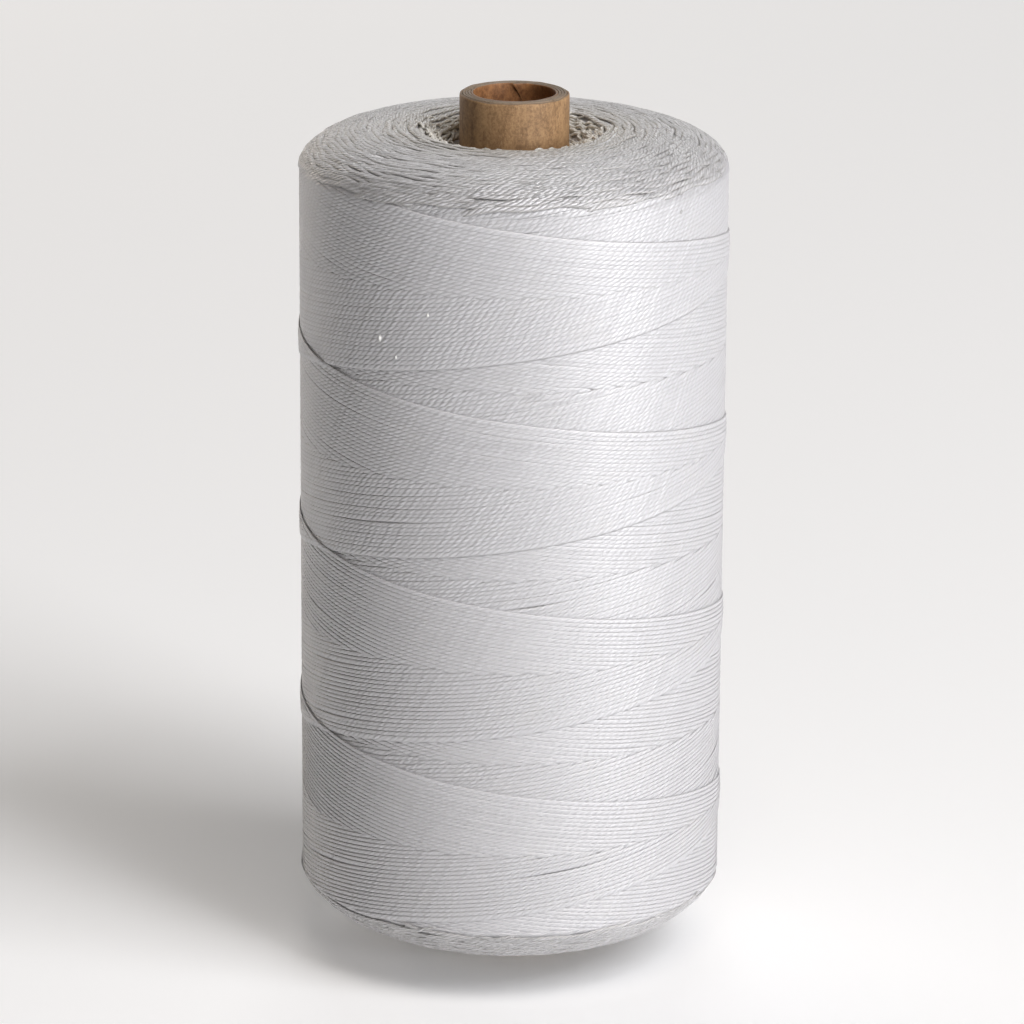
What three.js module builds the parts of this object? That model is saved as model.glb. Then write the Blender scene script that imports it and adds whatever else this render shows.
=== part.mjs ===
// Waxed thread spool: a spiral-wound paper tube that carries one continuous
// waxed thread, cross-wound into a parallel package with domed ends.
//
// Millimetres, +Z up. The origin is the centre of the tube's lower end, on the
// surface that the spool stands on. Azimuths are in degrees and turn from the
// front (-Y) towards the right (+X).

import * as THREE from 'three';

// ---- Driving dimensions -----------------------------------------------------

// Paper tube
const TUBE_LENGTH = 208;
const TUBE_BORE = 18.8;          // diameter that slides over a winder's spindle
const PLY_THICKNESS = 0.6;
const GLUE_LINE = 0.05;          // film of glue between two plies
const BODY_PLIES = 3;            // plies between the liner and the face
const PLY_LEAD = 120;            // rise of a paper strip in one turn
const PLY_SEAM = 0.5;            // open butt seam between a strip's own turns
const LINER_SEAM_AZIMUTH = 182;  // where the liner's seam comes out at the upper rim
const SEAM_STAGGER = 75;         // turn from one ply's seam to the next one's

// Wound package
const PACKAGE_RADIUS = 50;       // mean radius over the thread
const TUBE_SHOWN_LOW = 7.5;      // tube standing out under the package
const TUBE_SHOWN_HIGH = 8.8;     // tube standing out over the package
const DOME_LOW = 11;             // rise of the lower end face from shoulder to crest
const DOME_HIGH = 8.7;           // rise of the upper end face
const SHOULDER_POWER = 3.2;      // how late the end faces fall off towards the side
const SHOULDER_ROUND_LOW = 1.1;  // how full the lower shoulder is
const SHOULDER_ROUND_HIGH = 1.75;
const CRATER_RADIUS = 22.5;      // lip of the funnel round the tube
const CRATER_DEPTH = 7.5;
const CRATER_POWER = 1.5;        // how softly the lip rolls into the funnel
const SEAT_GAP = 0.1;            // running gap between a layer and what it is wound on

// Cross-winding of the outer lay
const TURNS_PER_STROKE = 4;      // turns that the thread makes from one end to the other
const LAST_TURNROUND = -60;      // azimuth of the last turn-round at the upper shoulder
const STROKE_RISE = 0.5;         // step that the newest stroke makes over the oldest
const END_RELIEF = 0.3;          // share of that step that is left at the turn-rounds
const LAY_FOOT = 0.8;            // ledge of the outer lay inside its own turn-rounds
const BUNDLES = 4;               // bundles of strokes that show between two newest strokes
const GROOVE_WIDTH = 0.9;
const GROOVE_DEPTH = 0.35;
const GROOVE_RUN_OUT = 5;        // height over which a groove fades out at its ends
const END_RINGS = 6;             // rings of turn-rounds that show on an end face
const RING_GROOVE = 0.3;         // depth of the groove between two rings

// Fineness of the facets
const PACKAGE_SIDES = 48;        // a multiple of 4
const TUBE_SIDES = 36;
const SHOULDER_ROWS_LOW = 3;     // rows of facets from the side to the lower turn-rounds
const SHOULDER_ROWS_HIGH = 4;
const CRATER_STEPS = 5;

// ---- Derived sizes ----------------------------------------------------------

const TUBE_RADIUS = TUBE_BORE / 2 + (BODY_PLIES + 2) * (PLY_THICKNESS + GLUE_LINE) - GLUE_LINE;
const CREST_LOW = TUBE_SHOWN_LOW;
const CREST_HIGH = TUBE_LENGTH - TUBE_SHOWN_HIGH;
const SIDE_LOW = CREST_LOW + DOME_LOW;
const SIDE_HIGH = CREST_HIGH - DOME_HIGH;

// A row is the rise of a stroke from one side of the polygon to the next, so
// strokes pass through the corners where rows and columns meet.
const ROWS_PER_BAND = PACKAGE_SIDES / 2;
const BANDS = 2 * TURNS_PER_STROKE;
const LAST_ROW = BANDS * ROWS_PER_BAND;
const SIDE_ROWS = LAST_ROW - SHOULDER_ROWS_LOW - SHOULDER_ROWS_HIGH;
const ROW_RISE = (SIDE_HIGH - SIDE_LOW) / SIDE_ROWS;

const radians = THREE.MathUtils.degToRad;

// ---- Small helpers ----------------------------------------------------------

/** A point at an azimuth (radians from the front), a radius and a height. */
function around(azimuth, radius, z) {
  return [radius * Math.sin(azimuth), -radius * Math.cos(azimuth), z];
}

/** Collects shared corners and facets, and hands back a BufferGeometry. */
class Shell {
  constructor() {
    this.corners = [];
    this.facets = [];
    this.known = new Map();
  }

  corner(name, point) {
    if (!this.known.has(name)) {
      this.known.set(name, this.corners.length / 3);
      this.corners.push(...point);
    }
    return this.known.get(name);
  }

  triangle(a, b, c) {
    if (a !== b && b !== c && c !== a) this.facets.push(a, b, c);
  }

  quad(a, b, c, d) {
    this.triangle(a, b, c);
    this.triangle(a, c, d);
  }

  geometry() {
    const shape = new THREE.BufferGeometry();
    shape.setAttribute('position', new THREE.Float32BufferAttribute(this.corners, 3));
    shape.setIndex(this.facets);
    shape.computeVertexNormals();
    return shape;
  }
}

/** Turns a closed outline of [radius, z] points about the Z axis. */
function revolve(outline, sides, startAzimuth) {
  const points = [...outline, outline[0]].map(([radius, z]) => new THREE.Vector2(radius, z));
  return new THREE.LatheGeometry(points, sides, startAzimuth).rotateX(Math.PI / 2);
}

/** Numbers from first to last in equal steps, both ends included. */
function spread(first, last, steps) {
  return Array.from({ length: steps + 1 }, (_, i) => first + ((last - first) * i) / steps);
}

// ---- Paper tube -------------------------------------------------------------

/** Radius at an azimuth of a regular prism whose corners lie on a circle. */
function prismRadius(radius, azimuth, sides) {
  const half = Math.PI / sides;
  const within = THREE.MathUtils.euclideanModulo(azimuth, 2 * half);
  return (radius * Math.cos(half)) / Math.cos(within - half);
}

/**
 * One ply: a strip of paper wound as a helix, edge to edge with its own next
 * turn, and cut square at both ends of the tube.
 */
function paperPly(innerRadius, seamAzimuth) {
  const strip = PLY_LEAD - PLY_SEAM;
  const perRadian = PLY_LEAD / (2 * Math.PI);
  const endAt = radians(seamAzimuth);
  const azimuthWhere = (lowerEdge) => endAt + (lowerEdge - TUBE_LENGTH) / perRadian;
  const corners = [-strip, 0, TUBE_LENGTH - strip, TUBE_LENGTH].map(azimuthWhere);
  const first = Math.min(...corners);
  const step = (2 * Math.PI) / TUBE_SIDES;
  const closest = step / 50;
  const stations = [...corners];
  for (let i = Math.ceil(first / step); i * step < endAt; i += 1) {
    if (corners.every((c) => Math.abs(c - i * step) > closest)) stations.push(i * step);
  }
  stations.sort((a, b) => a - b);

  const shell = new Shell();
  const sections = stations.map((azimuth, i) => {
    const lowerEdge = TUBE_LENGTH + (azimuth - endAt) * perRadian;
    const low = THREE.MathUtils.clamp(lowerEdge, 0, TUBE_LENGTH);
    const high = THREE.MathUtils.clamp(lowerEdge + strip, 0, TUBE_LENGTH);
    const atTip = i === 0 || i === stations.length - 1;
    const at = (side, radius, edge, z) => shell.corner(
      `${i} ${side} ${atTip ? 'tip' : edge}`,
      around(azimuth, prismRadius(radius, azimuth, TUBE_SIDES), z),
    );
    return {
      innerLow: at('inner', innerRadius, 'low', low),
      innerHigh: at('inner', innerRadius, 'high', high),
      outerLow: at('outer', innerRadius + PLY_THICKNESS, 'low', low),
      outerHigh: at('outer', innerRadius + PLY_THICKNESS, 'high', high),
    };
  });
  for (let i = 1; i < sections.length; i += 1) {
    const a = sections[i - 1];
    const b = sections[i];
    shell.quad(a.outerLow, b.outerLow, b.outerHigh, a.outerHigh);
    shell.quad(a.innerLow, a.innerHigh, b.innerHigh, b.innerLow);
    shell.quad(a.outerLow, a.innerLow, b.innerLow, b.outerLow);
    shell.quad(a.innerHigh, a.outerHigh, b.outerHigh, b.innerHigh);
  }
  return shell.geometry();
}

// ---- Outline of the package -------------------------------------------------

/** Rise of an end face over the shoulder at a radius. */
function domeRise(radius, rise, round) {
  const out = (radius - CRATER_RADIUS) / (PACKAGE_RADIUS - CRATER_RADIUS);
  return rise * (1 - Math.min(1, Math.max(0, out)) ** SHOULDER_POWER) ** (1 / round);
}

const END_FACES = {
  low: { rise: DOME_LOW, round: SHOULDER_ROUND_LOW, shoulder: SIDE_LOW, up: -1 },
  high: { rise: DOME_HIGH, round: SHOULDER_ROUND_HIGH, shoulder: SIDE_HIGH, up: 1 },
};

/** Height of an end face outside the crater. */
function domeHeight(end, radius) {
  return end.shoulder + end.up * domeRise(radius, end.rise, end.round);
}

/** Height of an end face inside the crater, from its lip down to the tube. */
function craterHeight(end, radius) {
  const inward = (CRATER_RADIUS - radius) / (CRATER_RADIUS - TUBE_RADIUS);
  return end.shoulder + end.up * (end.rise - CRATER_DEPTH * inward ** CRATER_POWER);
}

/** Point and outward normal at a distance along the rounded shoulder. */
function alongShoulder(end, distance) {
  const fine = 400;
  const reach = PACKAGE_RADIUS - CRATER_RADIUS;
  let before = [PACKAGE_RADIUS, end.shoulder];
  let walked = 0;
  for (let i = 1; i <= fine; i += 1) {
    const radius = CRATER_RADIUS + reach * Math.cos((i / fine) * (Math.PI / 2));
    const here = [radius, domeHeight(end, radius)];
    const dr = here[0] - before[0];
    const dz = here[1] - before[1];
    const piece = Math.hypot(dr, dz);
    if (walked + piece >= distance) {
      const share = (distance - walked) / piece;
      return {
        radius: before[0] + dr * share,
        z: before[1] + dz * share,
        normal: [Math.abs(dz) / piece, (end.up * Math.abs(dr)) / piece],
      };
    }
    walked += piece;
    before = here;
  }
  return { radius: before[0], z: before[1], normal: [0, end.up] };
}

/** Where a row of the outer lay lies, and how much of the strokes' step shows there. */
function rowPlace(row) {
  const below = SHOULDER_ROWS_LOW - row;
  const above = row - (LAST_ROW - SHOULDER_ROWS_HIGH);
  if (below > 0) {
    const fade = 1 - (1 - END_RELIEF) * (below / SHOULDER_ROWS_LOW);
    return { ...alongShoulder(END_FACES.low, below * ROW_RISE), fade };
  }
  if (above > 0) {
    const fade = 1 - (1 - END_RELIEF) * (above / SHOULDER_ROWS_HIGH);
    return { ...alongShoulder(END_FACES.high, above * ROW_RISE), fade };
  }
  const z = SIDE_LOW + (row - SHOULDER_ROWS_LOW) * ROW_RISE;
  return { radius: PACKAGE_RADIUS, z, normal: [1, 0], fade: 1 };
}

const LAY_INNER_RADIUS = Math.min(rowPlace(0).radius, rowPlace(LAST_ROW).radius)
  - END_RELIEF * STROKE_RISE - LAY_FOOT;

// ---- Thread, as it was wound ------------------------------------------------

/** The first layers, on the tube. Their ends are the funnel round it. */
function coreLayers() {
  const outer = CRATER_RADIUS - SEAT_GAP;
  const inner = (TUBE_RADIUS + SEAT_GAP) / Math.cos(Math.PI / PACKAGE_SIDES);
  const radii = spread(inner, outer, CRATER_STEPS);
  const face = (end) => radii.map((radius) => [radius, craterHeight(end, radius)]);
  return revolve([...face(END_FACES.low), ...face(END_FACES.high).reverse()],
    PACKAGE_SIDES, radians(LAST_TURNROUND));
}

/**
 * The main build, out to the last lay. Its ends are the domed faces, where the
 * turn-rounds of its layers lie in rings with shallow grooves between them.
 */
function mainLayers() {
  const outer = LAY_INNER_RADIUS - SEAT_GAP;
  const reach = PACKAGE_RADIUS - CRATER_RADIUS;
  const first = Math.acos((outer - CRATER_RADIUS) / reach);
  const ring = (Math.PI / 2 - first) / END_RINGS;
  const flank = ring * (GROOVE_WIDTH / 2) / ((outer - CRATER_RADIUS) / END_RINGS);
  const face = (end) => {
    const point = (angle, sunk) => {
      const radius = CRATER_RADIUS + reach * Math.cos(angle);
      return [radius, domeHeight(end, radius) - end.up * sunk];
    };
    const points = [point(first, 0)];
    for (let i = 1; i < END_RINGS; i += 1) {
      const groove = first + i * ring;
      points.push(point(groove - flank, 0), point(groove, RING_GROOVE), point(groove + flank, 0));
    }
    points.push(point(Math.PI / 2 - flank, 0), point(Math.PI / 2, 0));
    return points;
  };
  return revolve([...face(END_FACES.low).reverse(), ...face(END_FACES.high)],
    PACKAGE_SIDES, radians(LAST_TURNROUND));
}

/**
 * The outermost lay. Every stroke is a helix, and each new one lies a thread's
 * width beside the one before, so the surface climbs like a roll of tape, once
 * for the rising strokes and once for the falling ones. The newest rising and
 * the newest falling stroke divide it into diamonds that reach all the way
 * round. A diamond's height depends on the azimuth alone, and it stands one
 * step over or under its neighbours along both strokes. Its lower half shows
 * rising strokes and its upper half falling ones, in bundles with grooves
 * between them.
 */
function outerLay() {
  const shell = new Shell();
  const half = ROWS_PER_BAND;
  const places = new Map();

  /** A corner in a column, on a row (whole or not), lifted from the mean surface. */
  const corner = (column, row, lift) => {
    const wrapped = THREE.MathUtils.euclideanModulo(column, PACKAGE_SIDES);
    if (!places.has(row)) places.set(row, rowPlace(row));
    const place = places.get(row);
    const azimuth = radians(LAST_TURNROUND) + (wrapped * 2 * Math.PI) / PACKAGE_SIDES;
    const off = lift * place.fade;
    const point = around(azimuth, place.radius + off * place.normal[0], place.z + off * place.normal[1]);
    return shell.corner(`${wrapped} ${row.toFixed(4)} ${lift.toFixed(4)}`, point);
  };

  const liftAt = (offset) => (STROKE_RISE * offset) / half;
  const apexColumn = (band) => half * band;
  const grooveHalf = GROOVE_WIDTH / 2 / ROW_RISE;
  const sideFirst = SHOULDER_ROWS_LOW;
  const sideLast = LAST_ROW - SHOULDER_ROWS_HIGH;

  /** Grooves that cross a column of a diamond: rising ones below its waist, falling ones above. */
  const grooves = (band, offset) => {
    const found = [];
    const waist = half * (band + 1);
    for (let i = 1; i < BUNDLES; i += 1) {
      const rising = half * band + offset + (2 * half * i) / BUNDLES;
      const falling = half * band - offset + (2 * half * i) / BUNDLES;
      found.push({ name: `rising ${i}`, row: rising, from: half * band + Math.abs(offset), to: waist });
      found.push({ name: `falling ${i}`, row: falling, from: waist, to: waist + half - Math.abs(offset) });
    }
    return found
      .map((g) => {
        const room = Math.min(g.row - Math.max(g.from, sideFirst), Math.min(g.to, sideLast) - g.row);
        const run = Math.max(0, room - 1.2 * grooveHalf) * ROW_RISE;
        return { ...g, depth: GROOVE_DEPTH * Math.min(1, run / GROOVE_RUN_OUT) };
      })
      .filter((g) => g.depth > 0)
      .sort((a, b) => a.row - b.row);
  };

  /** The named corners up one column of a diamond, from its lower edge to its upper edge. */
  const columnOf = (band, offset) => {
    const column = apexColumn(band) + offset;
    const first = Math.max(0, half * band + Math.abs(offset));
    const last = Math.min(LAST_ROW, half * (band + 2) - Math.abs(offset));
    const lift = liftAt(offset);
    const marks = [{ name: 'lower edge', row: first, lift }];
    const shoulderRows = [
      ...spread(1, sideFirst, sideFirst - 1),
      ...spread(sideLast, LAST_ROW - 1, LAST_ROW - 1 - sideLast),
    ];
    const inside = shoulderRows.filter((row) => row > first && row < last)
      .map((row) => ({ name: `row ${row}`, row, lift }));
    const cut = grooves(band, offset).flatMap((g) => [
      { name: `${g.name} a`, row: g.row - grooveHalf, lift },
      { name: `${g.name} b`, row: g.row, lift: lift - g.depth },
      { name: `${g.name} c`, row: g.row + grooveHalf, lift },
    ]);
    marks.push(...[...inside, ...cut].sort((a, b) => a.row - b.row));
    if (last > first) marks.push({ name: 'upper edge', row: last, lift });
    return marks.map((m) => ({ name: m.name, at: corner(column, m.row, m.lift) }));
  };

  /** Facets between two neighbouring columns, joining corners of the same name. */
  const joinColumns = (left, right) => {
    let i = 0;
    let j = 0;
    while (i < left.length - 1 || j < right.length - 1) {
      const nextLeft = left[i + 1];
      const nextRight = right[j + 1];
      const leftAlone = nextLeft && !right.some((m) => m.name === nextLeft.name);
      const rightAlone = nextRight && !left.some((m) => m.name === nextRight.name);
      if (!nextRight || leftAlone) {
        shell.triangle(left[i].at, right[j].at, nextLeft.at);
        i += 1;
      } else if (!nextLeft || rightAlone) {
        shell.triangle(left[i].at, right[j].at, nextRight.at);
        j += 1;
      } else {
        shell.quad(left[i].at, right[j].at, nextRight.at, nextLeft.at);
        i += 1;
        j += 1;
      }
    }
  };

  for (let band = -1; band < BANDS; band += 1) {
    let left = columnOf(band, -half);
    for (let offset = 1 - half; offset <= half; offset += 1) {
      const right = columnOf(band, offset);
      joinColumns(left, right);
      left = right;
    }
  }

  // Steps along the newest strokes, which are every diamond's two lower edges.
  const edge = (band, offset, lift) => (
    corner(apexColumn(band) + offset, half * band + Math.abs(offset), lift));
  for (let band = 0; band < BANDS; band += 1) {
    for (let i = 0; i < half; i += 1) {
      const under = (offset) => edge(band, offset, liftAt(offset - half));
      const over = (offset) => edge(band, offset, liftAt(offset));
      shell.quad(over(i), under(i), under(i + 1), over(i + 1));
      const low = (offset) => edge(band, offset, liftAt(offset));
      const high = (offset) => edge(band, offset, liftAt(offset + half));
      shell.quad(low(i - half), high(i - half), high(i - half + 1), low(i - half + 1));
    }
  }

  // The ledges at both ends and the wall that rests on the main build.
  const wall = (column, end) => {
    const wrapped = THREE.MathUtils.euclideanModulo(column, PACKAGE_SIDES);
    const azimuth = radians(LAST_TURNROUND) + (wrapped * 2 * Math.PI) / PACKAGE_SIDES;
    return shell.corner(`wall ${wrapped} ${end.up}`,
      around(azimuth, LAY_INNER_RADIUS, domeHeight(end, LAY_INNER_RADIUS)));
  };
  const ledge = (band, row, end) => {
    for (let offset = -half; offset < half; offset += 1) {
      const column = apexColumn(band) + offset;
      const seamLifts = offset + 1 === half ? [-STROKE_RISE, 0] : [];
      const far = [...seamLifts, liftAt(offset + 1)].map((lift) => corner(column + 1, row, lift));
      const near = corner(column, row, liftAt(offset));
      const rim = [wall(column, end), wall(column + 1, end), ...far];
      for (let i = 1; i < rim.length; i += 1) {
        if (end.up < 0) shell.triangle(near, rim[i - 1], rim[i]);
        else shell.triangle(near, rim[i], rim[i - 1]);
      }
    }
  };
  const { low, high } = END_FACES;
  ledge(-1, 0, low);
  ledge(BANDS - 1, LAST_ROW, high);
  for (let column = 0; column < PACKAGE_SIDES; column += 1) {
    shell.quad(wall(column, low), wall(column, high), wall(column + 1, high), wall(column + 1, low));
  }
  return shell.geometry();
}

// ---- Assembly ---------------------------------------------------------------

const KRAFT_FACE = new THREE.MeshStandardMaterial({ color: 0x9a7650, roughness: 0.82, metalness: 0 });
const KRAFT_BODY = new THREE.MeshStandardMaterial({ color: 0x8a7460, roughness: 0.9, metalness: 0 });
const KRAFT_LINER = new THREE.MeshStandardMaterial({ color: 0x95602f, roughness: 0.85, metalness: 0 });
const WAXED_THREAD = new THREE.MeshStandardMaterial({ color: 0xdcdbe0, roughness: 0.45, metalness: 0 });
const SHADED_THREAD = new THREE.MeshStandardMaterial({ color: 0xc9c4ba, roughness: 0.55, metalness: 0 });

function named(name, geometry, material) {
  const mesh = new THREE.Mesh(geometry, material);
  mesh.name = name;
  return mesh;
}

function paperTube() {
  const tube = new THREE.Group();
  const bodyNames = Array.from({ length: BODY_PLIES }, (_, i) => `tube_body_ply_${i + 1}`);
  const names = ['tube_liner_ply', ...bodyNames, 'tube_face_ply'];
  names.forEach((name, i) => {
    const innerRadius = TUBE_BORE / 2 + i * (PLY_THICKNESS + GLUE_LINE);
    const seam = LINER_SEAM_AZIMUTH + i * SEAM_STAGGER;
    const outside = i === names.length - 1 ? KRAFT_FACE : KRAFT_BODY;
    tube.add(named(name, paperPly(innerRadius, seam), i === 0 ? KRAFT_LINER : outside));
  });
  return tube;
}

function threadPackage() {
  const winding = new THREE.Group();
  winding.add(named('thread_core_layers', coreLayers(), SHADED_THREAD));
  winding.add(named('thread_main_layers', mainLayers(), WAXED_THREAD));
  winding.add(named('thread_outer_lay', outerLay(), WAXED_THREAD));
  return winding;
}

const spool = new THREE.Group();
spool.add(paperTube(), threadPackage());

export default spool;
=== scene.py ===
"""Looks of a waxed thread spool: a spiral-wound paper tube and the thread cross-wound on it.

Lengths are in metres. Azimuths are in degrees, from the front (-Y) towards the right (+X).
"""

import logging
import math
from dataclasses import dataclass, field
from enum import Enum
from typing import Any, Iterable, Sequence

import bpy
import numpy as np
from mathutils import Matrix, Vector


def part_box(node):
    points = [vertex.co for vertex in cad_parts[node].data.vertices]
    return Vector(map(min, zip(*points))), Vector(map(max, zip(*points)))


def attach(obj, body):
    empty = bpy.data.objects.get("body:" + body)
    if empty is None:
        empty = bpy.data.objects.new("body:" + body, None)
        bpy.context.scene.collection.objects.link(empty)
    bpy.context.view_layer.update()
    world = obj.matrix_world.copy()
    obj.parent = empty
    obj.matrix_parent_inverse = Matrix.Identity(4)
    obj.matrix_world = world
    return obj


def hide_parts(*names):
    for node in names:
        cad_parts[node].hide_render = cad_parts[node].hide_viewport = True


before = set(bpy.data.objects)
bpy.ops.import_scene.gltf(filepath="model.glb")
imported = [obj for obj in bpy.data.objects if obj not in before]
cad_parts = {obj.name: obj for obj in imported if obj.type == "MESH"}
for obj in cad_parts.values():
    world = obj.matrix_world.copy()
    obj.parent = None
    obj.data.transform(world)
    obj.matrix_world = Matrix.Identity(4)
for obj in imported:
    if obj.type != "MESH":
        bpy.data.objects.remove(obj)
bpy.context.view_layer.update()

MM = 0.001
ROOT_BODY = "root"
RUN_MAP = "thread_run"  # UV map: millimetres along a thread, and turns round it
PLIES = 3  # laid up into one thread
TWIST_LEAD = 5.2 * MM  # length of thread in one whole twist
FULL_TURN = 6.3  # widest random start of a wave, in radians
SAME_PLACE = 0.002 * MM  # corners closer than this are one
log = logging.getLogger("thread_spool")

Colour = tuple[float, float, float, float]
Span = tuple[float, float]


# ---- Shader helpers ---------------------------------------------------------


class Flow:
    """A shader socket that takes part in Python arithmetic."""

    def __init__(self, graph: "Graph", socket: bpy.types.NodeSocket) -> None:
        """Wrap one output socket of a graph."""
        self.graph = graph
        self.socket = socket

    def _with(self, operation: str, *others: Any) -> "Flow":
        """Add a Math node that takes this socket first.

        Args:
            operation: The Math node's operation.
            others: Its other inputs, as flows or numbers.

        Returns:
            The node's result.
        """
        return self.graph.math(operation, self, *others)

    def __add__(self, other: Any) -> "Flow":
        """Sum."""
        return self._with("ADD", other)

    __radd__ = __add__

    def __sub__(self, other: Any) -> "Flow":
        """Difference."""
        return self._with("SUBTRACT", other)

    def __rsub__(self, other: Any) -> "Flow":
        """Difference with this socket last."""
        return self.graph.math("SUBTRACT", other, self)

    def __mul__(self, other: Any) -> "Flow":
        """Product."""
        return self._with("MULTIPLY", other)

    __rmul__ = __mul__

    def __truediv__(self, other: Any) -> "Flow":
        """Quotient."""
        return self._with("DIVIDE", other)

    def cosine(self) -> "Flow":
        """Cosine of an angle in radians."""
        return self._with("COSINE")

    def size(self) -> "Flow":
        """Absolute value."""
        return self._with("ABSOLUTE")

    def over(self, low: float, high: float) -> "Flow":
        """Smooth rise from 0 to 1 between two values.

        Args:
            low: Where the rise starts.
            high: Where it ends.

        Returns:
            The clamped, smoothed share.
        """
        settings = {"interpolation_type": "SMOOTHSTEP"}
        node = self.graph.node(
            "ShaderNodeMapRange", settings, {"Value": self, "From Min": low, "From Max": high}
        )
        return Flow(self.graph, node.outputs["Result"])


@dataclass(frozen=True)
class Grain:
    """One fractal noise over the object.

    Attributes:
        stretch: Its scale along the spool, as a share of its scale across it.
        scale: How fine it is.
        detail: How many finer layers it has.
        rough: How strong the finer layers are.
    """

    stretch: float
    scale: float
    detail: float = 3.0
    rough: float = 0.55


class Graph:
    """Builds one material's nodes."""

    def __init__(self, name: str) -> None:
        """Start an empty node material.

        Args:
            name: The material's name.
        """
        self.material = bpy.data.materials.new(name)
        self.material.use_nodes = True
        self.tree = self.material.node_tree
        self.tree.nodes.clear()

    def node(self, kind: str, settings: dict[str, Any], inputs: dict[Any, Any]) -> bpy.types.Node:
        """Add any node.

        Args:
            kind: The node's type.
            settings: Its properties, set before its sockets.
            inputs: Values or links of its sockets, by name or number.

        Returns:
            The new node.
        """
        made = self.tree.nodes.new(kind)
        for key, value in settings.items():
            setattr(made, key, value)
        for key, value in inputs.items():
            if isinstance(value, Flow):
                self.tree.links.new(value.socket, made.inputs[key])
            else:
                made.inputs[key].default_value = value
        return made

    def flow(self, kind: str, output: str, settings: dict[str, Any], inputs: dict[Any, Any]) -> Flow:
        """Add a node and take one of its outputs."""
        return Flow(self, self.node(kind, settings, inputs).outputs[output])

    def math(self, operation: str, *values: Any) -> Flow:
        """Add a Math node over flows and numbers."""
        return self.flow("ShaderNodeMath", "Value", {"operation": operation}, dict(enumerate(values)))

    def blend(self, share: Any, first: Any, second: Any) -> Flow:
        """Mix two colours.

        Args:
            share: How much of the second colour shows.
            first: The colour at 0.
            second: The colour at 1.

        Returns:
            The mixed colour.
        """
        made = self.node("ShaderNodeMix", {"data_type": "RGBA"}, {0: share, 6: first, 7: second})
        return Flow(self, made.outputs[2])

    def place(self, scale: Sequence[float]) -> Flow:
        """Object coordinates stretched by a scale."""
        there = self.flow("ShaderNodeTexCoord", "Object", {}, {})
        return self.flow("ShaderNodeMapping", "Vector", {}, {"Vector": there, "Scale": scale})

    def noise(self, where: Flow, scale: float, detail: float, rough: float) -> Flow:
        """Fractal noise between 0 and 1 at a place."""
        inputs = {"Vector": where, "Scale": scale, "Detail": detail, "Roughness": rough}
        return self.flow("ShaderNodeTexNoise", "Fac", {}, inputs)

    def grain(self, grain: Grain) -> Flow:
        """A grain over the object, between 0 and 1."""
        where = self.place((1.0, 1.0, grain.stretch))
        return self.noise(where, grain.scale, grain.detail, grain.rough)

    def bump(self, height: Flow, strength: float, distance: float) -> Flow:
        """A normal bent by a height."""
        inputs = {"Height": height, "Strength": strength, "Distance": distance}
        return self.flow("ShaderNodeBump", "Normal", {}, inputs)

    def finish(self, inputs: dict[str, Any]) -> bpy.types.Material:
        """Close the graph with a Principled shader.

        Args:
            inputs: Values or links of the shader's sockets.

        Returns:
            The finished material.
        """
        shader = self.flow("ShaderNodeBsdfPrincipled", "BSDF", {}, inputs)
        self.node("ShaderNodeOutputMaterial", {}, {"Surface": shader})
        return self.material


# ---- Finishes ---------------------------------------------------------------


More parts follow.
